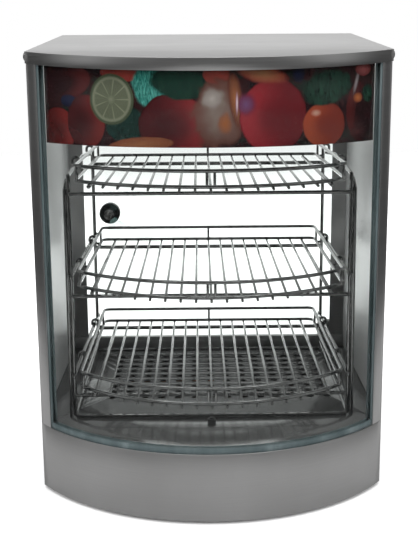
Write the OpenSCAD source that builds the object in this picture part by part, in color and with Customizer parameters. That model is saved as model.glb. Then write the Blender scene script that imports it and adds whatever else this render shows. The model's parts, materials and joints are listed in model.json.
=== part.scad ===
// Hot food display case: curved glass front, three wire shelves, heated base.
// X is to the right as a customer sees it, -Y is the bowed glass front, +Z is up.
// The origin is the centre of the floor area under the case, at the foot of its rubber feet.

/* [Cabinet] */
// Outside width of the cabinet
body_w = 390; // [386:1:396]
// Depth of the straight side walls
side_d = 309; // [307:1:312]
// How far the curved front stands out ahead of the front corners
bow = 100; // [97:1:102]
// Height of the base under the glass
base_h = 76; // [75:1:80]
// Height from the base's lower edge to the roof at the front corners
roof_h = 492; // [490:1:500]
// Fall of the roof towards the front, in degrees
roof_fall = 4.3; // [4:0.1:4.6]
// Thickness of the cabinet's sheet steel
sheet = 1.2; // [1:0.1:1.3]
// Width of the front post seen from the front
post_w = 12.5; // [11:0.5:14]
// Width of the return flange on each side panel's rear edge
rear_flange_w = 21; // [20:1:22]
// Height of the lid's edge
fascia_h = 12.4; // [12:0.1:14]

/* [Glass] */
// Thickness of the curved front glass
front_glass_t = 4; // [3.8:0.1:4]
// Height of the seal channel under the glass
seal_h = 7; // [6:0.5:8]
// Height of the printed panel's lower edge above the base's lower edge
graphic_low = 397; // [395:1:402]
// Thickness of the door glass
door_glass_t = 4; // [3.8:0.1:4]
// Diameter of the door knob
knob_d = 29; // [27:1:31]

/* [Rack and shelves] */
// Diameter of the rack's wire
rack_wire = 4.4; // [4:0.1:4.6]
// Half of the distance between the rack's two side frames
rack_x = 158; // [157.5:0.5:159]
// Diameter of the shelf frame wire
shelf_wire = 4; // [3.8:0.1:4.2]
// Diameter of the shelf rods
rod_d = 3; // [2.8:0.1:3.2]
// Half of the shelf's width, on the wire's centre line
shelf_x = 147.5; // [147:0.5:148]
// Distance between neighbouring rods
rod_pitch = 16.3; // [16:0.1:16.5]
// Height of the shelf's upper rail above its lower frame
rail_rise = 16.5; // [16:0.5:17]
// Distance between one shelf and the next
shelf_step = 117; // [115:1:118]

/* [Base and controls] */
// Diameter of the floor's warm air holes
vent_d = 9; // [8:0.5:10]
// Height of the feet under the base
foot_h = 3; // [3:0.5:4]
// Diameter of the heater tube
heater_d = 8; // [7:0.5:8]
// Diameter of the thermostat knob
dial_knob_d = 36; // [32:1:38]

/* [Hidden] */
$fn = 64;

// Plan of the cabinet
lid_over = 1.1;
lid_sheet = 1;
rear_stick = 28.1;
half_w = body_w / 2;
corner_y = (bow + lid_over - side_d - rear_stick) / 2;
rear_y = corner_y + side_d;
arc_r = (half_w * half_w + bow * bow) / (2 * bow);
arc_y = corner_y - bow + arc_r;
corner_a = asin(half_w / arc_r);
post_a = asin((half_w - post_w) / arc_r);
seal_a = 0.9;
base_top = foot_h + base_h;
lid_screw_y = [corner_y + 9, rear_y - 22];
roof_z = foot_h + roof_h;
big = 700;
deck_t = 1;
screw_d = 4;
screw_hole = 4.2;
screw_head = 8;

// Glass and its neighbours, as radii of the bowed front
glass_r = arc_r - 2;
seal_wall = 1.2;
fit = 0.05;
graphic_r = glass_r - front_glass_t - 2;
graphic_t = 1.2;
ceiling_z = 481;
lamp_y = -150;
holder_d = 20;
cap_d = 14;

// Rear door
clamp_t = 9;
door_axis_x = 188.5;
door_axis_y = rear_y + 6.1;
door_front_y = door_axis_y - door_glass_t / 2;
door_low = 88;
door_high = 492;
door_left = -184;
door_right = 183;
clamp_h = 30;
pin_d = 5;
pin_fit = 0.05;
clamp_end = 4;
play = 0.5;
clamp_screw_x = 168;
knob_x = -140;
magnet_x = -183;
magnet_z = 262;
magnet_w = 7;
magnet_h = 44;
knob_z = foot_h + 268;

// Rack
rack_front = corner_y + 16;
rack_rear = corner_y + 294;
rack_low = base_top + rack_wire / 2;
rung_z = [129.5, 246.5, 369];
rack_bend = 10;
cross_z = [106.5, 224, 340.5];

// Shelves
shelf_low = [123.5, 240.5, 357.5];
shelf_arc_r = 204;
shelf_rear = corner_y + 285.5;
shelf_corner = corner_y - 2;
shelf_arc_y = shelf_corner + sqrt(pow(shelf_arc_r, 2) - pow(shelf_x, 2));
front_round = 12;
rear_round = 9;
rod_count = 17;
hook_wire = 3.4;
hook_gap = 0.3;
hook_y = [corner_y + 100, corner_y + 255];
butt_gap = 0.05;
wire_sides = 8;

// Floor holes and heater
vent_cols = 14;
vent_rows = 9;
vent_dx = 20.4;
vent_dy = 21.2;
vent_x = 10.8;
vent_y = corner_y + 169;
heater_y = [-14, 30, 74, 118];
heater_z = 58;
heater_end = 110;
heater_tail = 178;
pan_x = -140;
pan_y = -52;
pan_l = 300;
pan_w = 212;
pan_low = 44;
pan_t = 0.8;
plate_t = 1;
foot_recess = 2;
clear = 0.1;

// Thermostat's sensing tube, under the floor
sensor_y = 52;
sensor_z = 70;

// Controls on the rear panel
control_z = 40;
dial_x = -70;
pilot_x = -20;
heater_switch_x = 15;
light_switch_x = 50;
gland_x = 120;
switch_w = 13;
switch_h = 20;
bush_d = 10;
shaft_d = 6;
stat_w = 36;
pilot_d = 8;
gland_d = 12;
rocker_pin_d = 2.4;
panel_back = rear_y - sheet;
rear_panel_low = foot_h + sheet;
rear_panel_top = base_top - deck_t - sheet;
panel_screw_x = 185;
panel_screw_z = [14, 52];

// Cord: its diameter, its free route from the strain relief to the coil, and its coil
cord_d = 7;
relief_l = 30;
gland_z = 34;
coil_x = 30;
coil_y = 311;
coil_r = 42;
coil_rings = 3;
coil_layers = 2;
cord_route = [
    [120, 221, 34], [120, 228, 33.9], [119.3, 234.6, 33.2], [117.4, 241, 31.8], [114.3, 246.9, 29.7],
    [110, 252, 27.1], [104.9, 256.3, 24], [99, 259.4, 20.7], [92.6, 261.3, 17.4], [86, 262, 14],
    [79, 262, 10.8], [72, 262, 8], [65, 262, 5.8], [57, 262, 4.1]
];
plug_route = [[3, 262, 10.2], [-4, 262, 9.9], [-11, 262, 9.6], [-18, 262, 9.3], [-24, 262, 9.1], [-29.9, 262, 9]];
plug_x = -30;
plug_y = 262;
plug_z = 9;
plug_l = 33;
boot_l = 12;

// Walls of constant width around the bow of the front, and solids of the cabinet's plan

module bow_wall(r_in, r_out, a0, a1, z, h) {
    translate([0, arc_y, z]) rotate([0, 0, -90 + a0])
        rotate_extrude(angle = a1 - a0, $fn = 180) translate([r_in, 0]) square([r_out - r_in, h]);
}

module plan(side_in, bow_in, rear_in, z, h) {
    x = half_w - side_in;
    r = arc_r - bow_in;
    union() {
        translate([-x, arc_y - 1, z]) cube([2 * x, rear_y - rear_in - arc_y + 1, h]);
        intersection() {
            translate([0, arc_y, z]) cylinder(r = r, h = h, $fn = 180);
            translate([-x, arc_y - r - 1, z]) cube([2 * x, r + 1, h]);
        }
    }
}

module roof_slab(top, thick) {
    translate([0, corner_y, roof_z]) rotate([roof_fall, 0, 0])
        translate([-big / 2, -big / 2, -top - thick]) cube([big, 1.5 * big, thick]);
}

module under_roof(gap) { roof_slab(gap, big); }

// Wire work: straight lengths, bends and sets of points joined by straight wire

module wire(p, q, d) {
    v = q - p;
    l = norm(v);
    translate(p) rotate([0, acos(v[2] / l), atan2(v[1], v[0])]) cylinder(d = d, h = l, $fn = 16);
}

module wire_ball(p, d) { translate(p) sphere(d = d, $fn = 16); }

module bend(r, d, a0, a1) {
    rotate([0, 0, a0]) rotate_extrude(angle = a1 - a0, $fn = r < 50 ? 24 : 96) translate([r, 0]) circle(d = d, $fn = 16);
}

module wire_path(points, d) {
    for (i = [0 : len(points) - 2]) wire(points[i], points[i + 1], d);
    for (i = [1 : len(points) - 2]) wire_ball(points[i], d);
}

module pan_screw(d, head_d, head_h, l) {
    cylinder(d = d, h = l);
    translate([0, 0, l]) intersection() {
        cylinder(d = head_d, h = head_h);
        translate([0, 0, head_h - head_d]) sphere(r = head_d);
    }
}

// Base

module base_skirt() {
    flange = 14;
    open_rear = -10;
    color("silver") union() {
        difference() {
            plan(0, 0, 0, foot_h, base_h);
            plan(sheet, sheet, open_rear, foot_h + sheet, base_h);
            plan(flange, flange, open_rear, foot_h - 1, base_h);
        }
        difference() {
            plan(sheet, sheet, 0, rear_panel_top, sheet);
            plan(flange, flange, open_rear, rear_panel_top - 1, 2 * sheet + 2);
        }
        for (side = [0, 1]) mirror([side, 0, 0]) difference() {
            translate([half_w - sheet - flange, panel_back - sheet, rear_panel_low])
                cube([flange, sheet, rear_panel_top - rear_panel_low]);
            for (z = panel_screw_z) rear_hole(panel_screw_x, z, screw_hole);
        }
    }
}

foot_at = [[-140, -90], [140, -90], [-140, 150], [140, 150]];

module bottom_plate() {
    z = foot_h + sheet;
    edge = 2;
    slot_w = 6;
    slot_l = 60;
    slot_y = -130;
    color("gray") difference() {
        plan(edge, edge, edge + 1, z, plate_t);
        for (p = foot_at) translate([p[0], p[1], z - 1]) cylinder(d = screw_hole, h = plate_t + 2);
        for (x = [-90 : 30 : 90]) translate([x - slot_w / 2, slot_y, z - 1]) cube([slot_w, slot_l, plate_t + 2]);
    }
}

module rear_hole(x, z, d) {
    translate([x, rear_y + 1, z]) rotate([90, 0, 0]) cylinder(d = d, h = 2 * sheet + 2);
}

module rear_control_panel() {
    slot_x = -172;
    slot_pitch = 11;
    slot_w = 4;
    slot_h = 16;
    color("silver") difference() {
        translate([-half_w + sheet, panel_back, rear_panel_low])
            cube([body_w - 2 * sheet, sheet, rear_panel_top - rear_panel_low]);
        rear_hole(dial_x, control_z, bush_d + clear);
        rear_hole(pilot_x, control_z, pilot_d + clear);
        rear_hole(gland_x, gland_z, gland_d + clear);
        for (x = [heater_switch_x, light_switch_x])
            translate([x - switch_w / 2, panel_back - 1, control_z - switch_h / 2]) cube([switch_w, sheet + 2, switch_h]);
        for (i = [0 : 5], z = [26, 50])
            translate([slot_x + slot_pitch * i, panel_back - 1, z]) cube([slot_w, sheet + 2, slot_h]);
        for (x = [-panel_screw_x, panel_screw_x], z = panel_screw_z) rear_hole(x, z, screw_hole);
    }
}

module panel_screws() {
    l = 6;
    color("silver") for (x = [-panel_screw_x, panel_screw_x], z = panel_screw_z)
        translate([x, panel_back - l, z]) rotate([-90, 0, 0]) pan_screw(screw_d, screw_head, 2, l + sheet);
}

module rubber_feet() {
    foot_d = 22;
    recess_d = screw_head + 1;
    color("black") for (p = foot_at) translate([p[0], p[1], 0]) difference() {
        cylinder(d = foot_d, h = foot_h + sheet);
        translate([0, 0, -1]) cylinder(d = screw_d + clear, h = foot_h + 3);
        translate([0, 0, -1]) cylinder(d = recess_d, h = foot_recess + 1);
    }
}

module foot_screws() {
    l = 9;
    color("silver") for (p = foot_at) translate([p[0], p[1], foot_recess + l]) rotate([180, 0, 0])
        pan_screw(screw_d, screw_head, 1, l);
}

module deck() {
    color("lightgray") difference() {
        plan(sheet, sheet, sheet, base_top - deck_t, deck_t);
        for (i = [0 : vent_cols - 1], j = [0 : vent_rows - 1])
            translate([vent_x + (i - (vent_cols - 1) / 2) * vent_dx, vent_y + (j - (vent_rows - 1) / 2) * vent_dy,
                base_top - deck_t - 1]) cylinder(d = vent_d, h = deck_t + 2, $fn = 24);
    }
}

module heater_pan() {
    tail_hole = heater_d + 0.6;
    tube_hole = 5;
    color("silver") difference() {
        translate([pan_x, pan_y, pan_low]) cube([pan_l, pan_w, base_top - deck_t - pan_low]);
        translate([pan_x + pan_t, pan_y + pan_t, pan_low + pan_t])
            cube([pan_l - 2 * pan_t, pan_w - 2 * pan_t, base_top]);
        for (y = [heater_y[0], heater_y[3]])
            translate([pan_x + pan_l - 10, y, heater_z]) rotate([0, 90, 0]) cylinder(d = tail_hole, h = 20);
        translate([pan_x - 10, sensor_y, sensor_z]) rotate([0, 90, 0]) cylinder(d = tube_hole, h = 20);
    }
}

module heater_element() {
    step = heater_y[1] - heater_y[0];
    color("dimgray") union() {
        for (y = [heater_y[0], heater_y[3]])
            wire([-heater_end, y, heater_z], [heater_tail, y, heater_z], heater_d);
        for (y = [heater_y[1], heater_y[2]])
            wire([-heater_end, y, heater_z], [heater_end, y, heater_z], heater_d);
        for (k = [0, 2]) translate([-heater_end, (heater_y[k] + heater_y[k + 1]) / 2, heater_z])
            bend(step / 2, heater_d, 90, 270);
        translate([heater_end, (heater_y[1] + heater_y[2]) / 2, heater_z]) bend(step / 2, heater_d, -90, 90);
    }
}

module heater_clips() {
    w = 12;
    side = 8;
    low = pan_low + pan_t;
    bar_t = 1.2;
    span = heater_y[3] - heater_y[0] + 2 * w;
    color("silver") for (x = [-70, 70]) difference() {
        translate([x - w / 2, heater_y[0] - w, low]) cube([w, span, heater_z - low + 6]);
        for (y = heater_y) translate([x - w, y, heater_z]) rotate([0, 90, 0]) cylinder(d = heater_d + clear, h = 2 * w);
        for (k = [0 : 2]) translate([x - w, heater_y[k] + side, low + bar_t])
            cube([2 * w, heater_y[k + 1] - heater_y[k] - 2 * side, heater_z]);
    }
}

module terminal_block() {
    screw_pitch = 10.5;
    z = foot_h + sheet + plate_t;
    color("white") difference() {
        translate([165, 130, z]) cube([22, 44, 16]);
        for (i = [0 : 3]) translate([172, 136 + screw_pitch * i, z + 7]) cylinder(d = 4, h = 20);
    }
}

// Thermostat, switches and lamp on the rear panel

module thermostat_body() {
    deep = 26;
    color("dimgray") difference() {
        union() {
            translate([dial_x - stat_w / 2, panel_back - deep, control_z - stat_w / 2]) cube([stat_w, deep, stat_w]);
            translate([dial_x, panel_back - 1, control_z]) rotate([-90, 0, 0]) cylinder(d = bush_d, h = 4);
        }
        translate([dial_x, panel_back - 16, control_z]) rotate([-90, 0, 0]) cylinder(d = shaft_d + clear, h = 30);
    }
}

module thermostat_bulb() {
    x = -60;
    turn_x = pan_x - 10;
    rear = 168;
    z = sensor_z;
    color("peru") union() {
        translate([x, sensor_y, z]) rotate([0, 90, 0]) cylinder(d = 6, h = 80);
        wire_path([[x, sensor_y, z], [turn_x, sensor_y, z], [turn_x, rear, z], [dial_x, rear, z],
            [dial_x, rear, control_z + stat_w / 2]], 2);
    }
}

module dial_plate() {
    color("black") translate([dial_x, rear_y, control_z]) rotate([-90, 0, 0]) difference() {
        cylinder(d = 50, h = 0.6);
        translate([0, 0, -1]) cylinder(d = bush_d + clear, h = 3);
    }
}

module thermostat_shaft() {
    color("silver") translate([dial_x, panel_back - 14, control_z]) rotate([-90, 0, 0]) cylinder(d = shaft_d, h = 27);
}

module thermostat_knob() {
    grip_cuts = 12;
    flange_h = 4;
    knob_h = 17;
    color("black") translate([dial_x, rear_y + 2.8, control_z]) rotate([-90, 0, 0]) difference() {
        union() {
            cylinder(d = dial_knob_d, h = flange_h);
            cylinder(d = dial_knob_d - 4, h = knob_h);
        }
        translate([0, 0, -1]) cylinder(d = shaft_d, h = 10);
        for (i = [0 : grip_cuts - 1]) rotate([0, 0, 360 / grip_cuts * (i + 0.5)])
            translate([dial_knob_d / 2 - 1, 0, flange_h]) cylinder(d = 3, h = 20, $fn = 24);
        translate([-0.8, 8, knob_h - 1]) cube([1.6, 10, 3]);
    }
}

module switch_body(x) {
    wall = 1.2;
    deep = 18;
    rim = 1.5;
    color("black") translate([x, 0, control_z]) difference() {
        union() {
            translate([-switch_w / 2, panel_back - deep, -switch_h / 2]) cube([switch_w, deep + sheet, switch_h]);
            translate([-switch_w / 2 - rim, rear_y, -switch_h / 2 - rim])
                cube([switch_w + 2 * rim, 2, switch_h + 2 * rim]);
        }
        translate([-switch_w / 2 + wall, rear_y - 8, -switch_h / 2 + wall])
            cube([switch_w - 2 * wall, 20, switch_h - 2 * wall]);
        translate([-switch_w, rear_y - 1, 0]) rotate([0, 90, 0]) cylinder(d = rocker_pin_d + clear, h = 2 * switch_w);
    }
}

module heater_switch_body() { switch_body(heater_switch_x); }
module light_switch_body() { switch_body(light_switch_x); }

module rocker(x) {
    w = switch_w - 3.2;
    translate([x, rear_y - 1, control_z]) union() {
        intersection() {
            translate([-w / 2, -3, -switch_h / 2]) cube([w, 9, switch_h]);
            rotate([0, 90, 0]) cylinder(r = 7.6, h = w, center = true);
            union() {
                rotate([10, 0, 0]) translate([-w, -8, -2]) cube([2 * w, 12, 20]);
                rotate([-10, 0, 0]) translate([-w, -8, -18]) cube([2 * w, 12, 20]);
            }
        }
        rotate([0, 90, 0]) cylinder(d = rocker_pin_d, h = switch_w - 0.6, center = true);
    }
}

module heater_rocker() { color("red") rocker(heater_switch_x); }
module light_rocker() { color("green") rocker(light_switch_x); }

module pilot_lamp() {
    deep = 15;
    color("orange") translate([pilot_x, panel_back - deep, control_z]) rotate([-90, 0, 0]) union() {
        cylinder(d = pilot_d, h = deep + 2);
        translate([0, 0, deep + sheet]) cylinder(d = pilot_d + 3, h = 1.5);
        translate([0, 0, deep + 1]) intersection() {
            cylinder(d = pilot_d, h = 8);
            translate([0, 0, 1]) sphere(d = pilot_d + 1);
        }
    }
}

// Swept tubes, for the mains cord and the wiring

function dir(a, b) = (b - a) / norm(b - a);
function tangent(p, i) =
    i == 0 ? dir(p[0], p[1]) :
    i == len(p) - 1 ? dir(p[i - 1], p[i]) : dir(p[i - 1], p[i + 1]);
function ring(p, t, d, sides, up) = [
    for (k = [0 : sides - 1]) let (u = dir([0, 0, 0], cross(t, up)), v = cross(t, u), a = 360 * k / sides)
        p + d / 2 * (cos(a) * u + sin(a) * v)
];

// up is any direction that the tube never runs along
module tube(p, d, sides, up = [0, 0, 1]) {
    n = len(p);
    points = [for (i = [0 : n - 1]) each ring(p[i], tangent(p, i), d, sides, up)];
    sides_faces = [
        for (i = [0 : n - 2], k = [0 : sides - 1]) each [
            [i * sides + k, (i + 1) * sides + k, i * sides + (k + 1) % sides],
            [i * sides + (k + 1) % sides, (i + 1) * sides + k, (i + 1) * sides + (k + 1) % sides]
        ]
    ];
    polyhedron(points, concat(sides_faces, [[for (k = [0 : sides - 1]) k]],
        [[for (k = [sides - 1 : -1 : 0]) (n - 1) * sides + k]]));
}

module closed_tube(p, d, sides) {
    n = len(p);
    points = [for (i = [0 : n - 1]) each ring(p[i], dir(p[(i + n - 1) % n], p[(i + 1) % n]), d, sides, [0, 0, 1])];
    faces = [
        for (i = [0 : n - 1], k = [0 : sides - 1]) let (j = (i + 1) % n, m = (k + 1) % sides) each [
            [i * sides + k, j * sides + k, i * sides + m],
            [i * sides + m, j * sides + k, j * sides + m]
        ]
    ];
    polyhedron(points, faces);
}

module internal_wiring() {
    d = 3;
    sides = 8;
    color("firebrick") {
        tube([[120, 180, 34], [130, 172, 30], [145, 165, 26], [160, 160, 25]], d, sides);
        tube([[184, 118, 58], [188, 130, 50], [186, 140, 38], [176, 148, 26]], d, sides);
        tube([[50, 168, 34], [70, 160, 16], [110, 150, 12], [160, 146, 14]], d, sides);
        tube([[15, 168, 34], [0, 160, 20], [-20, 160, 24], [-48, 166, 32]], d, sides);
    }
}

// Walls, glass and roof

module side_panel() {
    difference() {
        intersection() {
            union() {
                translate([half_w - sheet, corner_y, base_top]) cube([sheet, side_d, big]);
                translate([half_w - rear_flange_w, rear_y - sheet, base_top]) cube([rear_flange_w, sheet, big]);
                bow_wall(arc_r - sheet, arc_r, post_a, corner_a, base_top, big);
            }
            under_roof(lid_sheet + clear);
        }
        for (y = lid_screw_y) lid_screw_place(y) translate([0, 0, -30]) cylinder(d = screw_hole, h = 60);
    }
}

module right_side_panel() { color("silver") side_panel(); }
module left_side_panel() { color("silver") mirror([1, 0, 0]) side_panel(); }

module front_glass() {
    color("lightcyan", 0.3) intersection() {
        bow_wall(glass_r - front_glass_t, glass_r, seal_a / 2 - post_a, post_a - seal_a / 2, base_top + 1.6, big);
        under_roof(2.4);
    }
}

module bottom_glass_seal() {
    color("cadetblue") difference() {
        bow_wall(glass_r - front_glass_t - seal_wall, glass_r + seal_wall, -post_a, post_a, base_top, seal_h);
        bow_wall(glass_r - front_glass_t - fit, glass_r + fit, -post_a - 1, post_a + 1, base_top + 1.5, big);
    }
}

module side_glass_seals() {
    color("cadetblue") for (side = [0, 1]) mirror([side, 0, 0]) intersection() {
        difference() {
            bow_wall(glass_r - front_glass_t - seal_wall, glass_r + seal_wall, post_a - seal_a, post_a,
                base_top + seal_h, big);
            bow_wall(glass_r - front_glass_t - fit, glass_r + fit, post_a - 3, post_a - seal_a / 2 + fit, base_top, 2 * big);
        }
        under_roof(2.2);
    }
}

module graphic_panel() {
    color("firebrick") intersection() {
        bow_wall(graphic_r - graphic_t, graphic_r, -post_a + seal_a, post_a - seal_a, foot_h + graphic_low, big);
        under_roof(6);
    }
}

module ceiling_panel() {
    in = arc_r - graphic_r + graphic_t + 0.5;
    color("lightgray") difference() {
        plan(sheet + 0.2, in, sheet + 0.2, ceiling_z, 1);
        translate([0, lamp_y, ceiling_z - 1]) cylinder(d = holder_d + clear, h = 3);
    }
}

module top_lid() {
    color("silver") difference() {
        intersection() {
            plan(-lid_over, -lid_over, -lid_over, roof_z - 60, 120);
            roof_slab(0, fascia_h);
        }
        intersection() {
            plan(lid_sheet - lid_over, lid_sheet - lid_over, lid_sheet - lid_over, roof_z - 80, 140);
            roof_slab(lid_sheet, 2 * fascia_h);
        }
        for (y = lid_screw_y) lid_screw_place(y) translate([0, 0, -30]) cylinder(d = screw_hole, h = 60);
    }
}

module lid_screw_place(y) {
    for (side = [0, 1]) mirror([side, 0, 0])
        translate([half_w + lid_over, y, roof_z - fascia_h / 2 + (y - corner_y) * tan(roof_fall)]) rotate([0, 90, 0]) children();
}

module lid_screws() {
    color("dimgray") for (y = lid_screw_y) lid_screw_place(y) translate([0, 0, -6]) pan_screw(screw_d, screw_head, 3, 6);
}

module rear_sill() {
    bead_l = 115;
    bead_z = base_top + 7;
    front = rear_y - 10;
    color("silver") union() {
        translate([-half_w + sheet + 1, front, base_top]) cube([body_w - 2 * sheet - 2, 1, 16]);
        translate([-half_w + sheet + 1, front, base_top + 15]) cube([body_w - 2 * sheet - 2, 10 - sheet - 0.1, 1]);
        translate([-half_w + rear_flange_w + 0.1, front, base_top + 15]) cube([body_w - 2 * rear_flange_w - 0.2, 10, 1]);
        translate([-half_w + rear_flange_w + 0.1, rear_y - sheet, base_top])
            cube([body_w - 2 * rear_flange_w - 0.2, sheet, 16]);
        for (side = [-1, 1]) translate([side * (bead_l / 2 + 6), front, bead_z]) rotate([90, 0, 0]) {
            translate([-bead_l / 2 + 4, -4, -0.5]) cube([bead_l - 8, 8, 1.7]);
            for (e = [-1, 1]) translate([e * (bead_l / 2 - 4), 0, -0.5]) cylinder(d = 8, h = 1.7);
        }
    }
}

module rear_header() {
    w = body_w - 2 * rear_flange_w - 0.2;
    color("silver") intersection() {
        union() {
            translate([-w / 2, rear_y - sheet, ceiling_z - 1]) cube([w, sheet, 60]);
            translate([-w / 2, rear_y - 14, ceiling_z - 1]) cube([w, 14, 1]);
        }
        under_roof(lid_sheet + 0.2);
    }
}

module lamp_holder() {
    color("white") translate([0, lamp_y, ceiling_z]) difference() {
        union() {
            translate([0, 0, -14]) cylinder(d = holder_d, h = 17);
            translate([0, 0, -2]) cylinder(d = 32, h = 2);
        }
        translate([0, 0, -20]) cylinder(d = cap_d + clear, h = 17);
    }
}

module lamp_bulb() {
    color("lightyellow") translate([0, lamp_y, ceiling_z]) union() {
        translate([0, 0, -18]) cylinder(d = cap_d, h = 14);
        translate([0, 0, -38]) sphere(d = 26);
        translate([0, 0, -36]) cylinder(d = 16, h = 18.5);
    }
}

// Door

module hinge_brackets() {
    lug_t = 3.4;
    lug_d = 12;
    leg_h = 24;
    x0 = 178;
    color("silver") for (end = [0, 1]) {
        lug_z = end == 0 ? door_low - clamp_end - play - lug_t : door_high + clamp_end + play;
        leg_z = end == 0 ? lug_z - 16 : lug_z - leg_h;
        difference() {
            union() {
                translate([x0, rear_y, lug_z]) cube([half_w - x0, 6, lug_t]);
                translate([door_axis_x - lug_d / 2, rear_y, lug_z]) cube([lug_d, door_axis_y - rear_y, lug_t]);
                translate([door_axis_x, door_axis_y, lug_z]) cylinder(d = lug_d, h = lug_t);
                translate([x0, rear_y, leg_z]) cube([half_w - x0, sheet, leg_h]);
            }
            translate([door_axis_x, door_axis_y, lug_z - 1]) cylinder(d = pin_d + 2 * pin_fit, h = 10);
        }
    }
}

module door_glass() {
    color("lightcyan", 0.3) difference() {
        translate([door_left, door_front_y, door_low]) cube([door_right - door_left, door_glass_t, door_high - door_low]);
        translate([knob_x, door_front_y - 1, knob_z]) rotate([-90, 0, 0]) cylinder(d = 6, h = 10);
    }
}

module door_hinge_clamps() {
    in_x = 158;
    color("silver") for (end = [0, 1]) {
        z = end == 0 ? door_low - clamp_end : door_high + clamp_end - clamp_h;
        difference() {
            union() {
                translate([in_x, door_axis_y - clamp_t / 2, z]) cube([door_axis_x - in_x, clamp_t, clamp_h]);
                translate([door_axis_x, door_axis_y, z]) cylinder(d = clamp_t, h = clamp_h);
                translate([door_axis_x, door_axis_y, end == 0 ? z - 4 : z + clamp_h - 1]) cylinder(d = pin_d, h = 5);
            }
            translate([in_x - 1, door_front_y, end == 0 ? door_low : z - 1])
                cube([door_right - in_x + 1, door_glass_t, clamp_h - clamp_end + 1]);
            translate([clamp_screw_x, door_axis_y + door_glass_t / 2 - 0.01, z + clamp_h / 2]) rotate([-90, 0, 0])
                cylinder(d = screw_d + clear, h = clamp_t);
        }
    }
}

module door_clamp_screws() {
    color("silver") for (z = [door_low - clamp_end + clamp_h / 2, door_high + clamp_end - clamp_h / 2])
        translate([clamp_screw_x, door_axis_y + door_glass_t / 2 + 0.01, z]) rotate([-90, 0, 0])
            pan_screw(screw_d, screw_head, 2, clamp_t / 2 - door_glass_t / 2);
}

module door_knob() {
    y = door_front_y + door_glass_t;
    l = rear_y + rear_stick - y;
    head = 15;
    dome_r = 40;
    color("black") translate([knob_x, y, knob_z]) rotate([-90, 0, 0]) difference() {
        union() {
            cylinder(d = 16, h = l - 6);
            translate([0, 0, l - head]) intersection() {
                cylinder(d = knob_d, h = head);
                translate([0, 0, head - dome_r]) sphere(r = dome_r);
                translate([0, 0, 22]) sphere(r = 26);
            }
        }
        translate([0, 0, -1]) cylinder(d = screw_d, h = 13);
    }
}

module door_knob_screw() {
    color("silver") translate([knob_x, door_front_y - 2.5, knob_z]) rotate([-90, 0, 0]) union() {
        cylinder(d = screw_d, h = 16);
        cylinder(d = screw_head, h = 1.6);
        translate([0, 0, 1.5]) cylinder(d = 15, h = 1);
    }
}

module door_magnet() {
    color("dimgray") translate([magnet_x, rear_y, magnet_z]) cube([magnet_w, 2.6, magnet_h]);
}

module door_strike_plate() {
    t = 0.8;
    color("silver") translate([magnet_x, door_front_y - t, magnet_z]) cube([magnet_w, t, magnet_h]);
}

// Rack: a side frame, its cross wires and its retainer

module rack_frame() {
    x = rack_x;
    top = rung_z[2];
    f = rack_front;
    r = rack_rear;
    outer_x = x + rack_wire;
    outer_top = top - 16;
    outer_end = f + 26;
    color("silver") union() {
        wire([x, f, rack_low], [x, f, top - rack_bend], rack_wire);
        wire([x, r, rack_low + rack_bend], [x, r, top - rack_bend], rack_wire);
        wire([x, f, rack_low], [x, r - rack_bend, rack_low], rack_wire);
        wire([x, f + rack_bend, top], [x, r - rack_bend, top], rack_wire);
        wire_ball([x, f, rack_low], rack_wire);
        for (c = [[f + rack_bend, top - rack_bend, 90], [r - rack_bend, rack_low + rack_bend, 270],
                [r - rack_bend, top - rack_bend, 0]])
            translate([x, c[0], c[1]]) rotate([90, 0, 90]) bend(rack_bend, rack_wire, c[2], c[2] + 90);
        for (z = [rung_z[0], rung_z[1]]) wire([x, f, z], [x, r, z], rack_wire);
        wire([outer_x, f, rack_low], [outer_x, f, outer_top - rack_bend], rack_wire);
        wire_ball([outer_x, f, rack_low], rack_wire);
        translate([outer_x, f + rack_bend, outer_top - rack_bend]) rotate([90, 0, 90])
            bend(rack_bend, rack_wire, 90, 180);
        wire([outer_x, f + rack_bend, outer_top], [outer_x, outer_end, outer_top], rack_wire);
        wire_ball([outer_x, outer_end, outer_top], rack_wire);
    }
}

module rack_right_frame() { rack_frame(); }
module rack_left_frame() { mirror([1, 0, 0]) rack_frame(); }

module rack_cross_wires() {
    l = rack_x - rack_wire / 2;
    rear_wire = 5.2;
    rear_rise = 4;
    color("silver") {
        for (z = cross_z) {
            wire([-l, rack_front, z], [l, rack_front, z], rack_wire);
            wire([-l, rack_rear, z + rear_rise], [l, rack_rear, z + rear_rise], rear_wire);
        }
        for (y = [rack_front, rack_rear - rack_bend]) wire([-l, y, rack_low], [l, y, rack_low], rack_wire);
    }
}

module rack_retainer() {
    stop_d = 9.6;
    color("black") translate([0, rack_front - 22, base_top]) union() {
        cylinder(d = stop_d, h = 5.4);
        cylinder(d = 5.2, h = 7);
    }
}

// Shelves: a rounded frame, a rail above it, hooks at the sides, and rods under the frame

function fillet_y(r) = shelf_arc_y - sqrt(pow(shelf_arc_r - r, 2) - pow(shelf_x - r, 2));
fillet_a = asin((shelf_x - front_round) / (shelf_arc_r - front_round));

function arc_points(x, y, z, r, a0, a1, n) = [
    for (i = [0 : n]) let (a = a0 + (a1 - a0) * i / n) [x + r * cos(a), y + r * sin(a), z]
];
function shelf_path(z) = concat(
    arc_points(0, shelf_arc_y, z, shelf_arc_r, -90 - fillet_a + 2, -90 + fillet_a - 2, 18),
    arc_points(shelf_x - front_round, fillet_y(front_round), z, front_round, -90 + fillet_a, 0, 3),
    arc_points(shelf_x - rear_round, shelf_rear - rear_round, z, rear_round, 0, 90, 4),
    arc_points(rear_round - shelf_x, shelf_rear - rear_round, z, rear_round, 90, 180, 4),
    arc_points(front_round - shelf_x, fillet_y(front_round), z, front_round, 180, 270 - fillet_a, 3)
);

module shelf_loop(z, d) { closed_tube(shelf_path(z), d, wire_sides); }

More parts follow.
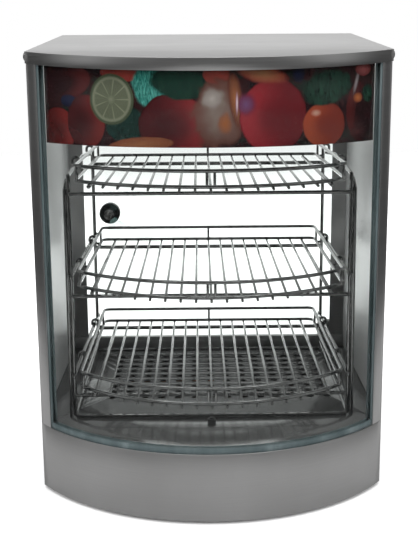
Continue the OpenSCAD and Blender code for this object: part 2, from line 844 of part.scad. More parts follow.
module shelf_hook(z, rung) {
    r = rack_wire / 2 + hook_wire / 2 + hook_gap;
    arch = [for (a = [180 : -30 : 0]) [rack_x + r * cos(a), 0, rung + r * sin(a)]];
    tube(concat([[shelf_x + shelf_wire / 2 + butt_gap, 0, z], [rack_x - r - 1.5, 0, z], [rack_x - r, 0, z + 1.5]],
        arch, [[rack_x + r, 0, rung - 3]]), hook_wire, wire_sides, [0, 1, 0]);
}

function shelf_front(x) = shelf_arc_y - sqrt(pow(shelf_arc_r, 2) - x * x);

// Struts and hooks stop just short of the frame wire that they are spot-welded to
module strut(p, q, d, short) {
    step = short * (q - p) / norm(q - p);
    wire(p + step, q - step, d);
}

module shelf_frame(i) {
    z = shelf_low[i];
    high = z + rail_rise;
    butt = shelf_wire / 2 + butt_gap;
    color("silver") {
        shelf_loop(z, shelf_wire);
        shelf_loop(high, shelf_wire);
        for (x = [-4, 4]) strut([x, shelf_front(x), z], [x, shelf_front(x), high], rod_d, butt);
        strut([0, shelf_rear, z], [0, shelf_rear, high], rod_d, butt);
        for (side = [0, 1]) mirror([side, 0, 0]) {
            for (y = [shelf_corner + 16, shelf_rear - 24])
                strut([shelf_x, y, z], [shelf_x, y, high], rod_d, butt);
            for (y = hook_y) translate([0, y, 0]) shelf_hook(z, rung_z[i]);
        }
    }
}

module shelf_rods(i) {
    mid = (rod_count - 1) / 2;
    edge_d = 4.5;
    color("silver") for (k = [0 : rod_count - 1]) {
        x = (k - mid) * rod_pitch;
        d = abs(k - mid) == mid ? edge_d : rod_d;
        z = shelf_low[i] - (shelf_wire + d) / 2;
        wire([x, shelf_front(x) - 3.4, z], [x, shelf_rear + 2.5, z], d);
    }
}

module bottom_shelf_frame() { shelf_frame(0); }
module middle_shelf_frame() { shelf_frame(1); }
module top_shelf_frame() { shelf_frame(2); }
module bottom_shelf_rods() { shelf_rods(0); }
module middle_shelf_rods() { shelf_rods(1); }
module top_shelf_rods() { shelf_rods(2); }

// Mains cord

module strain_relief() {
    inner_l = 9;
    collar = 4;
    color("black") translate([gland_x, rear_y - inner_l, gland_z]) rotate([-90, 0, 0]) difference() {
        union() {
            cylinder(d = gland_d, h = inner_l);
            cylinder(d = gland_d + 5, h = collar);
            translate([0, 0, inner_l]) cylinder(d = gland_d + 6, h = collar);
            translate([0, 0, inner_l + collar]) cylinder(d1 = 14, d2 = cord_d + 2, h = relief_l - collar);
        }
        translate([0, 0, -1]) cylinder(d = cord_d, h = inner_l);
        for (i = [0 : 3]) translate([0, 0, inner_l + 2 * collar + 5 * i]) difference() {
            cylinder(d = 20, h = 1.6);
            cylinder(d = cord_d + 1.2, h = 1.6);
        }
    }
}

module power_cord() {
    color("black") {
        tube(cord_route, cord_d, 10);
        tube(plug_route, cord_d, 10);
    }
}

module cord_coil() {
    color("black") translate([coil_x, coil_y, 0]) rotate_extrude()
        translate([coil_r - coil_rings / 2 * cord_d, 0]) square([coil_rings * cord_d, cord_d * coil_layers]);
}

module cord_tie() {
    half = coil_rings / 2 * cord_d;
    h = cord_d * coil_layers;
    band = 8;
    t = 1;
    loose = 0.4;
    color("black") translate([coil_x - coil_r, coil_y, 0]) difference() {
        translate([-half - loose - t, -band / 2, 0]) cube([2 * (half + loose + t), band, h + clear + t]);
        translate([-half - loose, -band, -1]) cube([2 * (half + loose), 2 * band, h + clear + 1]);
    }
}

module plug_body() {
    plug_w = 24;
    color("black") translate([plug_x - boot_l, plug_y, plug_z]) rotate([0, 90, 0]) union() {
        cylinder(d1 = 15, d2 = cord_d + 3, h = boot_l);
        translate([-plug_z, -plug_w / 2, -plug_l]) cube([2 * plug_z, plug_w, plug_l]);
    }
}

module plug_pins() {
    pin_l = 19;
    color("silver") for (y = [-9.5, 9.5])
        translate([plug_x - boot_l - plug_l - pin_l, plug_y + y, plug_z]) rotate([0, 90, 0]) cylinder(d = 4.8, h = pin_l);
}

base_skirt();
bottom_plate();
rear_control_panel();
rubber_feet();
foot_screws();
deck();
rear_sill();
rear_header();
left_side_panel();
right_side_panel();
front_glass();
bottom_glass_seal();
side_glass_seals();
graphic_panel();
ceiling_panel();
top_lid();
lid_screws();
lamp_holder();
lamp_bulb();
heater_pan();
heater_element();
heater_clips();
thermostat_body();
thermostat_bulb();
dial_plate();
terminal_block();
internal_wiring();
pilot_lamp();
heater_switch_body();
light_switch_body();
hinge_brackets();
door_magnet();
rack_left_frame();
rack_right_frame();
rack_cross_wires();
rack_retainer();
panel_screws();
door_glass();
door_hinge_clamps();
door_clamp_screws();
door_knob();
door_knob_screw();
door_strike_plate();
bottom_shelf_frame();
bottom_shelf_rods();
middle_shelf_frame();
middle_shelf_rods();
top_shelf_frame();
top_shelf_rods();
thermostat_knob();
thermostat_shaft();
heater_rocker();
light_rocker();
strain_relief();
power_cord();
cord_coil();
cord_tie();
plug_body();
plug_pins();
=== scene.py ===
import json
import math
import bpy
from mathutils import Matrix, Vector


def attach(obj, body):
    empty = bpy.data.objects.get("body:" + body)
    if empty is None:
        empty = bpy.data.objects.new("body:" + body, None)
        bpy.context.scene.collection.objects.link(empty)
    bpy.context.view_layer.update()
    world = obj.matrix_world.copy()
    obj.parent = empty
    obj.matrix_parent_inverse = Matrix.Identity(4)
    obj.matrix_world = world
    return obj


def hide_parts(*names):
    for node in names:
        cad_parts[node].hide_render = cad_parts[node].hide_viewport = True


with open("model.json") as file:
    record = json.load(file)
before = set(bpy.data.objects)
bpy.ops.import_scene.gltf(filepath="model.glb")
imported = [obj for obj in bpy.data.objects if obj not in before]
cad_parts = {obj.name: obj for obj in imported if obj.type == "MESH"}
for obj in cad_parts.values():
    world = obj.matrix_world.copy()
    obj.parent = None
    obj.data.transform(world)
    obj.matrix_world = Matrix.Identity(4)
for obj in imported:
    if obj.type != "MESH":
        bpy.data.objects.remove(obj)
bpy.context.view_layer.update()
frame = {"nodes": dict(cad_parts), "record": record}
NODES = frame["nodes"]
SHARP_ANGLE = math.radians(40)


# Camera, at the photograph's viewing angle

CAMERA_PLACE = (-0.0114, -1.1996, 0.4876)
CAMERA_LENS = 65.14


def make_camera():
    pitch = math.radians(12.34)
    yaw = 0.0087
    roll = -0.0069
    flat = math.cos(pitch)
    forward = Vector((math.sin(yaw) * flat, math.cos(yaw) * flat, -math.sin(pitch)))
    level = Vector((math.cos(yaw), -math.sin(yaw), 0))
    above = level.cross(forward)
    right = level * math.cos(roll) + above * math.sin(roll)
    up = above * math.cos(roll) - level * math.sin(roll)
    turn = Matrix((right, up, -forward)).transposed().to_4x4()
    data = bpy.data.cameras.new("camera")
    data.lens = CAMERA_LENS
    data.sensor_width = 36
    camera = bpy.data.objects.new("camera", data)
    bpy.context.scene.collection.objects.link(camera)
    camera.matrix_world = Matrix.Translation(CAMERA_PLACE) @ turn
    bpy.context.scene.camera = camera


# Paths, in millimetres until a piece is made

def arc(centre, radius, start, end, steps, z):
    out = []
    for i in range(steps + 1):
        a = math.radians(start + (end - start) * i / steps)
        out.append(Vector((centre[0] + radius * math.cos(a), centre[1] + radius * math.sin(a), z)))
    return out


def rounded(points, radii, steps):
    """The corners of a line of points turned into bends, each of its own radius."""
    pts = [Vector(p) for p in points]
    out = [pts[0]]
    for i in range(1, len(pts) - 1):
        a = (pts[i - 1] - pts[i]).normalized()
        b = (pts[i + 1] - pts[i]).normalized()
        half = a.angle(b) / 2
        radius = radii[i - 1]
        cut = radius / math.tan(half)
        centre = pts[i] + (a + b).normalized() * radius / math.sin(half)
        first = pts[i] + a * cut - centre
        last = pts[i] + b * cut - centre
        for k in range(steps + 1):
            out.append(centre + first.slerp(last, k / steps))
    out.append(pts[-1])
    return out


def smooth_path(points, steps):
    """A Catmull-Rom line through the points."""
    pts = [Vector(p) for p in points]
    out = []
    for i in range(len(pts) - 1):
        a = pts[max(i - 1, 0)]
        b = pts[i]
        c = pts[i + 1]
        d = pts[min(i + 2, len(pts) - 1)]
        for k in range(steps):
            t = k / steps
            second = (2 * a - 5 * b + 4 * c - d) * t * t
            third = (3 * b - a - 3 * c + d) * t ** 3
            out.append(0.5 * (2 * b + (c - a) * t + second + third))
    out.append(pts[-1])
    return out


class Shape:
    """The vertices and faces of one piece, as tubes and turned forms are added to it."""

    def __init__(self):
        self.verts = []
        self.faces = []

    def skin(self, rings, closed=False):
        start = len(self.verts)
        n = len(rings[0])
        for ring in rings:
            self.verts.extend(ring)
        count = len(rings)
        for i in range(count if closed else count - 1):
            a = start + i * n
            b = start + (i + 1) % count * n
            for k in range(n):
                m = (k + 1) % n
                self.faces.append((a + k, a + m, b + m, b + k))
        if not closed:
            self.faces.append(tuple(start + k for k in reversed(range(n))))
            self.faces.append(tuple(start + (count - 1) * n + k for k in range(n)))

    def tube(self, path, diameter, sides=14, closed=False, dome=0.6):
        """A round wire along the path, with domed ends unless it is closed."""
        pts = [Vector(p) for p in path]
        n = len(pts)
        tangents = []
        for i in range(n):
            before = pts[i - 1] if i or closed else pts[0]
            after = pts[(i + 1) % n] if i < n - 1 or closed else pts[i]
            tangents.append((after - before).normalized())
        aside = Vector((0, 0, 1)) if abs(tangents[0].z) < 0.9 else Vector((1, 0, 0))
        normal = tangents[0].cross(aside).normalized()
        rings = []
        for p, t in zip(pts, tangents):
            normal = (normal - t * normal.dot(t)).normalized()
            rings.append((p, t, normal.copy(), t.cross(normal)))
        steps = [(0, 1)]
        if not closed and dome:
            steps = [(math.sin(a) * dome, math.cos(a)) for a in (0, 0.5, 0.95, 1.3)]
        made = []
        if not closed:
            for along, wide in reversed(steps[1:]):
                made.append(self.ring(rings[0], -along * diameter / 2, wide * diameter / 2, sides))
        for r in rings:
            made.append(self.ring(r, 0, diameter / 2, sides))
        if not closed:
            for along, wide in steps[1:]:
                made.append(self.ring(rings[-1], along * diameter / 2, wide * diameter / 2, sides))
        self.skin(made, closed)

    def ring(self, at, shift, radius, sides):
        p, t, u, v = at
        out = []
        for k in range(sides):
            a = 2 * math.pi * k / sides
            out.append(p + t * shift + (u * math.cos(a) + v * math.sin(a)) * radius)
        return out

    def turned(self, at, axis, profile, sides):
        """A form turned about an axis. The profile is (distance along the axis, radius) pairs."""
        t = Vector(axis).normalized()
        aside = Vector((0, 0, 1)) if abs(t.z) < 0.9 else Vector((1, 0, 0))
        u = t.cross(aside).normalized()
        place = (Vector(at), t, u, t.cross(u))
        self.skin([self.ring(place, along, radius, sides) for along, radius in profile])

    def make(self, name):
        mesh = bpy.data.meshes.new(name)
        mesh.from_pydata([tuple(Vector(v) * 0.001) for v in self.verts], [], self.faces)
        mesh.update()
        for face in mesh.polygons:
            face.use_smooth = True
        mesh.set_sharp_from_angle(angle=SHARP_ANGLE)
        piece = bpy.data.objects.new(name, mesh)
        bpy.context.scene.collection.objects.link(piece)
        return piece


# Mains cord: its route, its coil and its plug's lead, as in the CAD part

CORD_WIDTH = 7
CORD_ROUTE = [
    (120, 221, 34), (120, 228, 33.9), (119.3, 234.6, 33.2), (117.4, 241, 31.8),
    (114.3, 246.9, 29.7), (110, 252, 27.1), (104.9, 256.3, 24), (99, 259.4, 20.7),
    (92.6, 261.3, 17.4), (86, 262, 14), (79, 262, 10.8), (72, 262, 8), (65, 262, 5.8),
    (57, 262, 4.1), (50, 262, 3.6), (43, 262, 3.5), (36, 262, 3.5),
]
PLUG_ROUTE = [
    (24, 262, 10.5), (17, 262, 10.4), (10, 262, 10.3), (3, 262, 10.2), (-4, 262, 9.9),
    (-11, 262, 9.6), (-18, 262, 9.3), (-24, 262, 9.1), (-30, 262, 9),
]
COIL_SLOTS = [(49, 3.5), (42, 3.5), (35, 3.5), (35, 10.5), (42, 10.5), (49, 10.5)]
COIL_CENTRE = (30, 311)
COIL_TURNS = 5


def ease(t):
    t = min(max(t, 0), 1)
    return t * t * (3 - 2 * t)


def coil_path():
    """Turns beside and on each other, each stepping to its place before the next comes round."""
    step = 9
    shift = 48
    lead = 50
    x, y = COIL_CENTRE
    out = []
    for i in range(COIL_TURNS * 360 // step + 1):
        turned = i * step
        radius, z = COIL_SLOTS[0]
        for k in range(1, len(COIL_SLOTS)):
            end = 360 * k - lead * (k - 1)
            part = ease((turned - end + shift) / shift)
            radius += (COIL_SLOTS[k][0] - COIL_SLOTS[k - 1][0]) * part
            z += (COIL_SLOTS[k][1] - COIL_SLOTS[k - 1][1]) * part
        a = math.radians(-90 - turned)
        out.append(Vector((x + radius * math.cos(a), y + radius * math.sin(a), z)))
    return out


def make_cord():
    path = smooth_path(CORD_ROUTE, 2) + coil_path() + smooth_path(PLUG_ROUTE, 2)
    sheath = Shape()
    sheath.tube(path, CORD_WIDTH, sides=16, dome=0)
    piece = sheath.make("mains_cord")
    finish_with(piece, "cord_rubber", "cabinet", "power_cord", "cord_coil")


def finish_with(piece, slot, body, *replaced):
    """Gives a new piece its finish and body, and hides the CAD nodes that it stands for."""
    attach(piece, body)
    piece.data.materials.clear()
    piece.data.materials.append(material(slot))
    if replaced:
        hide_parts(*replaced)


# Materials: each is a tree of noises over the object's own coordinates

def fill_ramp(ramp, stops):
    while len(ramp.elements) < len(stops):
        ramp.elements.new(0.5)
    for element, (at, colour) in zip(ramp.elements, stops):
        element.position = at
        element.color = (*colour, 1)


class Paint:
    """A material's nodes, added from left to right."""

    def __init__(self, name):
        self.mat = bpy.data.materials.new(name)
        self.mat.use_nodes = True
        self.nodes = self.mat.node_tree.nodes
        self.links = self.mat.node_tree.links
        self.shader = self.nodes["Principled BSDF"]
        self.coord = self.nodes.new("ShaderNodeTexCoord").outputs["Object"]

    def set(self, **values):
        for key, value in values.items():
            self.shader.inputs[key.replace("_", " ")].default_value = value

    def link(self, a, b):
        self.links.new(a, b)

    def scaled(self, scale, vector=None):
        node = self.nodes.new("ShaderNodeMapping")
        node.inputs["Scale"].default_value = scale
        self.link(vector or self.coord, node.inputs["Vector"])
        return node.outputs["Vector"]

    def noise(self, scale, detail=3, rough=0.55, vector=None, distortion=0):
        node = self.nodes.new("ShaderNodeTexNoise")
        node.inputs["Scale"].default_value = 1
        node.inputs["Detail"].default_value = detail
        node.inputs["Roughness"].default_value = rough
        node.inputs["Distortion"].default_value = distortion
        self.link(self.scaled(scale, vector), node.inputs["Vector"])
        return node.outputs["Fac"]

    def facet(self):
        """Which way each flat face points, on the object's own axes."""
        turned = self.nodes.new("ShaderNodeVectorTransform")
        turned.vector_type = "NORMAL"
        turned.convert_from = "WORLD"
        turned.convert_to = "OBJECT"
        self.link(self.nodes.new("ShaderNodeNewGeometry").outputs["True Normal"], turned.inputs["Vector"])
        return turned.outputs["Vector"]

    def split(self, vector=None):
        node = self.nodes.new("ShaderNodeSeparateXYZ")
        self.link(vector or self.coord, node.inputs["Vector"])
        return node.outputs["X"], node.outputs["Y"], node.outputs["Z"]

    def math(self, kind, a, b=0.0, c=0.0):
        node = self.nodes.new("ShaderNodeMath")
        node.operation = kind
        for i, value in enumerate((a, b, c)):
            if isinstance(value, (int, float)):
                node.inputs[i].default_value = value
            else:
                self.link(value, node.inputs[i])
        return node.outputs["Value"]

    def span(self, value, a, b, low=0.0, high=1.0, smooth=True):
        node = self.nodes.new("ShaderNodeMapRange")
        node.interpolation_type = "SMOOTHSTEP" if smooth else "LINEAR"
        self.link(value, node.inputs["Value"])
        node.inputs["From Min"].default_value = a
        node.inputs["From Max"].default_value = b
        node.inputs["To Min"].default_value = low
        node.inputs["To Max"].default_value = high
        return node.outputs["Result"]

    def ramp(self, fac, *stops):
        node = self.nodes.new("ShaderNodeValToRGB")
        fill_ramp(node.color_ramp, stops)
        self.link(fac, node.inputs["Fac"])
        return node.outputs["Color"]

    def mix(self, fac, a, b, blend="MIX"):
        node = self.nodes.new("ShaderNodeMix")
        node.data_type = "RGBA"
        node.blend_type = blend
        for socket, value in ((node.inputs[0], fac), (node.inputs[6], a), (node.inputs[7], b)):
            if isinstance(value, (int, float)):
                socket.default_value = value
            elif isinstance(value, tuple):
                socket.default_value = (*value, 1)
            else:
                self.link(value, socket)
        return node.outputs[2]

    def bump(self, height, strength, distance):
        node = self.nodes.new("ShaderNodeBump")
        node.inputs["Strength"].default_value = strength
        node.inputs["Distance"].default_value = distance
        self.link(height, node.inputs["Height"])
        return node.outputs["Normal"]

    def done(self, colour=None, rough=None, normal=None):
        if colour:
            self.link(colour, self.shader.inputs["Base Color"])
        if rough:
            self.link(rough, self.shader.inputs["Roughness"])
        if normal:
            self.link(normal, self.shader.inputs["Normal"])
        return self.mat


def grey(v, warm=0.0):
    return (v * (1 + warm), v, v * (1 - warm))


def brushed(p, dark, light, grain, rough_low, rough_high, depth=0.25):
    """Metal with its grain along the slow axes of the scale, and faint handling marks."""
    p.set(Metallic=1.0)
    fine = p.noise(grain, 4, 0.65)
    broad = p.noise((9, 9, 6), 3, 0.5)
    marks = p.noise((70, 70, 50), 5, 0.7, distortion=0.6)
    tone = p.math("ADD", p.math("MULTIPLY", fine, 0.45), p.math("MULTIPLY", broad, 0.55))
    colour = p.ramp(tone, (0.32, grey(dark, 0.004)), (0.68, grey(light, 0.002)))
    smear = p.span(marks, 0.58, 0.75, 0.0, 0.1)
    colour = p.mix(smear, colour, grey(light * 0.8, 0.01))
    grained = p.span(fine, 0.25, 0.75, rough_low, rough_high)
    rough = p.math("ADD", grained, p.math("MULTIPLY", smear, 0.5))
    return colour, rough, p.bump(fine, depth, 0.0002)


WALL_INNER_X = (0.1944, 0.1942)


def brushed_steel():
    """Brushed sheet, with painted reflection on the inside faces of the side walls: there it is mixed
    towards pale grey and made less metallic, so they look lit.
    """
    p = Paint("brushed_steel")
    colour, rough, normal = brushed(p, 0.5, 0.6, (14, 14, 1400), 0.3, 0.42)
    x, y, z = p.split()
    facing, ay, az = p.split(p.facet())
    inside = p.span(p.math("ABSOLUTE", x), *WALL_INNER_X)
    # Painted reflection: on the inside faces of the side walls the steel is paled and made less metallic,
    # to look lit.
    painted_wall_sheen = p.math("MULTIPLY", inside, p.span(p.math("ABSOLUTE", facing), 0.93, 0.98))
    metal = p.math("SUBTRACT", 1.0, p.math("MULTIPLY", painted_wall_sheen, 0.62))
    p.link(metal, p.shader.inputs["Metallic"])
    return p.done(p.mix(painted_wall_sheen, colour, p.mix(0.15, grey(0.84), colour)), rough, normal)


def polished_steel():
    p = Paint("polished_steel")
    made = brushed(p, 0.23, 0.28, (16, 60, 60), 0.16, 0.22, 0.0)
    p.set(Metallic=0.8)
    return p.done(*made)


def steel_fittings():
    p = Paint("steel_fittings")
    return p.done(*brushed(p, 0.3, 0.4, (400, 400, 400), 0.22, 0.34, 0.15))


def aluminised_steel():
    p = Paint("aluminised_steel")
    return p.done(*brushed(p, 0.12, 0.2, (260, 260, 260), 0.4, 0.55, 0.3))


def chromed_wire():
    p = Paint("chromed_wire")
    p.set(Metallic=1.0)
    broad = p.noise((60, 60, 60), 4, 0.6)
    fine = p.noise((900, 900, 900), 3, 0.6)
    colour = p.ramp(broad, (0.3, grey(0.24, 0.01)), (0.7, grey(0.38, 0.0)))
    rough = p.span(broad, 0.3, 0.7, 0.05, 0.12)
    return p.done(colour, rough, p.bump(fine, 0.08, 0.0001))


def glass(name, tint, gloss, film, sides=0.0):
    """Clear sheet glass with a green rim: a faint tint, and a mirror that grows edge-on."""
    p = Paint(name)
    p.nodes.remove(p.shader)
    clear = p.nodes.new("ShaderNodeBsdfTransparent")
    mirror = p.nodes.new("ShaderNodeBsdfGlossy")
    mirror.inputs["Color"].default_value = (0.95, 0.98, 1.0, 1)
    smear = p.noise((22, 22, 16), 5, 0.7, distortion=0.8)
    x, y, z = p.split(p.facet())
    across = p.math("MULTIPLY", p.math("ABSOLUTE", x), sides)
    rim = p.math("MAXIMUM", p.math("ABSOLUTE", z), across)
    body = p.ramp(smear, (0.3, tint), (0.8, tuple(c * film for c in tint)))
    p.link(p.mix(p.span(rim, 0.6, 0.9), body, (0.28, 0.5, 0.46)), clear.inputs["Color"])
    p.link(p.span(smear, 0.3, 0.8, 0.01, 0.05), mirror.inputs["Roughness"])
    facing = p.nodes.new("ShaderNodeLayerWeight")
    facing.inputs["Blend"].default_value = 0.5
    grazing = p.math("POWER", facing.outputs["Facing"], 5)
    mixer = p.nodes.new("ShaderNodeMixShader")
    p.link(p.math("MULTIPLY_ADD", grazing, gloss, 0.008), mixer.inputs["Fac"])
    p.link(clear.outputs[0], mixer.inputs[1])
    p.link(mirror.outputs[0], mixer.inputs[2])
    p.link(mixer.outputs[0], p.nodes["Material Output"].inputs["Surface"])
    return p.mat


def front_glass():
    return glass("front_glass", (0.985, 0.995, 0.99), 0.7, 0.985)


def door_glass():
    return glass("door_glass", (0.97, 0.985, 0.98), 0.6, 0.985, 1.0)


def clear_seal():
    """The green edge of the glass in its seal."""
    p = Paint("clear_seal")
    p.set(Transmission_Weight=0.15, IOR=1.48, Specular_IOR_Level=0.3)
    streaks = p.noise((60, 60, 12), 4, 0.6)
    fine = p.noise((500, 500, 60), 3, 0.6)
    stops = ((0.3, (0.045, 0.065, 0.068)), (0.55, (0.075, 0.1, 0.105)), (0.75, (0.14, 0.17, 0.175)))
    colour = p.ramp(streaks, *stops)
    return p.done(colour, p.span(fine, 0.3, 0.7, 0.3, 0.45), p.bump(fine, 0.1, 0.0001))


def plastic(name, dark, light, rough_low, rough_high, grain=700, depth=0.3):
    """Moulded plastic or rubber with a fine grain and slightly uneven gloss."""
    p = Paint(name)
    p.set(Specular_IOR_Level=0.45)
    fine = p.noise((grain, grain, grain), 3, 0.6)
    broad = p.noise((45, 45, 45), 4, 0.6)
    colour = p.ramp(broad, (0.3, dark), (0.7, light))
    rough = p.span(broad, 0.3, 0.7, rough_low, rough_high)
    return p.done(colour, rough, p.bump(fine, depth, 0.0002))


def rubber():
    return plastic("rubber", grey(0.012), grey(0.022), 0.65, 0.85, 500, 0.5)


def black_plastic():
    return plastic("black_plastic", grey(0.012), grey(0.022), 0.42, 0.55)


def cord_rubber():
    return plastic("cord_rubber", grey(0.012), grey(0.02), 0.45, 0.6, 900, 0.35)


def cord_tie():
    return plastic("cord_tie", grey(0.02), grey(0.035), 0.35, 0.5, 600)


def magnet():
    return plastic("magnet", (0.035, 0.03, 0.028), (0.06, 0.052, 0.048), 0.5, 0.7, 400, 0.4)


def red_plastic():
    return plastic("red_plastic", (0.42, 0.015, 0.012), (0.52, 0.022, 0.018), 0.25, 0.35)


def green_plastic():
    return plastic("green_plastic", (0.012, 0.22, 0.05), (0.02, 0.3, 0.07), 0.25, 0.35)


def ceramic():
    return plastic("ceramic", (0.74, 0.72, 0.67), (0.84, 0.82, 0.78), 0.3, 0.45, 500, 0.3)


def wire_insulation():
    return plastic("wire_insulation", (0.3, 0.03, 0.02), (0.4, 0.045, 0.03), 0.45, 0.6, 800)


def amber_lens():
    p = Paint("amber_lens")
    p.set(Transmission_Weight=0.5, IOR=1.49)
    fine = p.noise((300, 300, 300), 3, 0.6)
    broad = p.noise((90, 90, 90), 3, 0.6)
    colour = p.ramp(broad, (0.3, (0.85, 0.28, 0.02)), (0.7, (0.95, 0.4, 0.04)))
    return p.done(colour, p.span(broad, 0.3, 0.7, 0.12, 0.22), p.bump(fine, 0.2, 0.0002))


def lamp_glass():
    p = Paint("lamp_glass")
    p.set(Transmission_Weight=0.6, IOR=1.45)
    broad = p.noise((60, 60, 60), 4, 0.6)
    colour = p.ramp(broad, (0.3, (0.85, 0.83, 0.78)), (0.7, (0.95, 0.94, 0.9)))
    return p.done(colour, p.span(broad, 0.3, 0.7, 0.2, 0.4), p.bump(broad, 0.1, 0.0003))


def copper():
    p = Paint("copper")
    p.set(Metallic=1.0)
    broad = p.noise((70, 70, 70), 5, 0.65)
    colour = p.ramp(broad, (0.3, (0.42, 0.17, 0.08)), (0.7, (0.72, 0.34, 0.18)))
    return p.done(colour, p.span(broad, 0.3, 0.7, 0.25, 0.45), p.bump(broad, 0.2, 0.0002))


def brass_pins():
    p = Paint("brass_pins")
    p.set(Metallic=1.0)
    broad = p.noise((120, 120, 120), 4, 0.6)
    fine = p.noise((60, 900, 900), 3, 0.6)
    colour = p.ramp(broad, (0.3, (0.58, 0.5, 0.36)), (0.7, (0.74, 0.68, 0.52)))
    return p.done(colour, p.span(fine, 0.3, 0.7, 0.18, 0.3), p.bump(fine, 0.15, 0.0001))


def heater_tube():
    p = Paint("heater_tube")
    p.set(Metallic=0.9)
    broad = p.noise((50, 50, 50), 5, 0.65)
    fine = p.noise((500, 500, 500), 3, 0.6)
    stops = ((0.3, (0.06, 0.05, 0.045)), (0.55, (0.12, 0.095, 0.08)), (0.75, (0.1, 0.1, 0.12)))
    colour = p.ramp(broad, *stops)
    return p.done(colour, p.span(broad, 0.3, 0.7, 0.45, 0.65), p.bump(fine, 0.3, 0.0002))


class Print:
    """A printed picture of fruit on the bowed panel, laid out by arc length and height in millimetres."""

    def __init__(self, paint, radius, centre_y):
        self.p = paint
        x, y, z = paint.split()
        behind = paint.math("SUBTRACT", centre_y, y)
        self.u = paint.math("MULTIPLY", paint.math("ARCTAN2", x, behind), radius * 1000)
        self.v = paint.math("MULTIPLY", z, 1000)
        self.flat = paint.nodes.new("ShaderNodeCombineXYZ")
        paint.link(self.u, self.flat.inputs["X"])
        paint.link(self.v, self.flat.inputs["Y"])
        self.wobble = paint.noise((0.05, 0.05, 1), 3, 0.6, self.flat.outputs[0])
        self.colour = None

    def ground(self, *stops):
        mottled = self.p.noise((0.035, 0.045, 1), 4, 0.6, self.flat.outputs[0], 0.8)
        self.colour = self.p.ramp(mottled, *stops)

    def away(self, u, v, half_w, half_h, lean=0, rough=0.3):
        """Distance from a patch's middle, 1 at its edge."""
        p = self.p
        du = p.math("SUBTRACT", self.u, u)
        dv = p.math("SUBTRACT", self.v, v)
        c = math.cos(math.radians(lean))
        s = math.sin(math.radians(lean))
        a = p.math("MULTIPLY_ADD", du, c / half_w, p.math("MULTIPLY", dv, s / half_w))
        b = p.math("MULTIPLY_ADD", dv, c / half_h, p.math("MULTIPLY", du, -s / half_h))
        far = p.math("SQRT", p.math("ADD", p.math("MULTIPLY", a, a), p.math("MULTIPLY", b, b)))
        return p.math("MULTIPLY_ADD", self.wobble, rough, p.math("SUBTRACT", far, rough / 2))

    def patch(self, u, v, half_w, half_h, *stops, lean=0, soft=0.12, rough=0.3):
        """A soft patch, coloured from its middle outwards by the stops."""
        far = self.away(u, v, half_w, half_h, lean, rough)
        inside = self.p.ramp(far, *stops)
        mask = self.p.span(far, 1 - soft, 1 + soft, 1, 0)
        self.colour = self.p.mix(mask, self.colour, inside)

    def leaf(self, u, v, half_w, half_h, dark, light, lean=0):
        """A leaf with veins running off its middle."""
        p = self.p
        veins = p.noise((0.5, 0.12, 1), 3, 0.6, self.flat.outputs[0], 1.5)
        far = self.away(u, v, half_w, half_h, lean, 0.45)
        between = tuple((a + b) / 2 for a, b in zip(dark, light))
        inside = p.ramp(veins, (0.38, dark), (0.56, between), (0.68, light))
        self.colour = p.mix(p.span(far, 0.9, 1.1, 1, 0), self.colour, inside)

    def slice(self, u, v, radius, rind, flesh, pith):
        """A cut citrus slice: rind, pith, and flesh in segments."""
        p = self.p
        du = p.math("SUBTRACT", self.u, u)
        dv = p.math("SUBTRACT", self.v, v)
        far = self.away(u, v, radius, radius, 0, 0.05)
        turn = p.math("MULTIPLY", p.math("ARCTAN2", dv, du), 9 / (2 * math.pi))
        wedge = p.math("ABSOLUTE", p.math("SUBTRACT", p.math("FRACT", turn), 0.5))
        gap = p.math("MULTIPLY", p.span(wedge, 0.4, 0.48, 0, 1), p.span(far, 0.12, 0.3, 0, 1))
        stops = ((0.0, pith), (0.2, flesh), (0.75, flesh), (0.82, pith), (0.9, pith), (0.94, rind))
        pulp = p.mix(gap, p.ramp(far, *stops), pith)
        skin = p.ramp(far, (0.86, pith), (0.93, rind), (1.0, rind))
        whole = p.mix(p.span(far, 0.8, 0.84, 0, 1), pulp, skin)
        self.colour = p.mix(p.span(far, 0.98, 1.04, 1, 0), self.colour, whole)


def tomato(art, u, v, half_w, half_h, dark, bright, side=1, lean=0):
    """A round fruit, dark inside and brighter towards one side, with a thin dark outline."""
    p = art.p
    far = art.away(u, v, half_w, half_h, lean, 0.14)
    across = p.math("MULTIPLY_ADD", art.u, side / half_w, -side * u / half_w)
    lit = p.span(across, -0.5, 0.8, 0.15, 1.0)
    light = p.math("MULTIPLY", lit, p.span(far, 0.15, 0.75, 0.35, 1.0))
    body = p.mix(light, dark, bright)
    body = p.mix(p.span(far, 0.93, 1.0, 0.0, 0.7), body, tuple(c * 0.5 for c in dark))
    art.colour = p.mix(p.span(far, 0.975, 1.01, 1, 0), art.colour, body)


MAROON = (0.012, 0.006, 0.008)
DEEP = (0.035, 0.007, 0.009)
RED = (0.17, 0.02, 0.018)
GREEN = (0.004, 0.022, 0.016)
PANEL_RADIUS = 0.2321
PANEL_CENTRE_Y = 0.022125


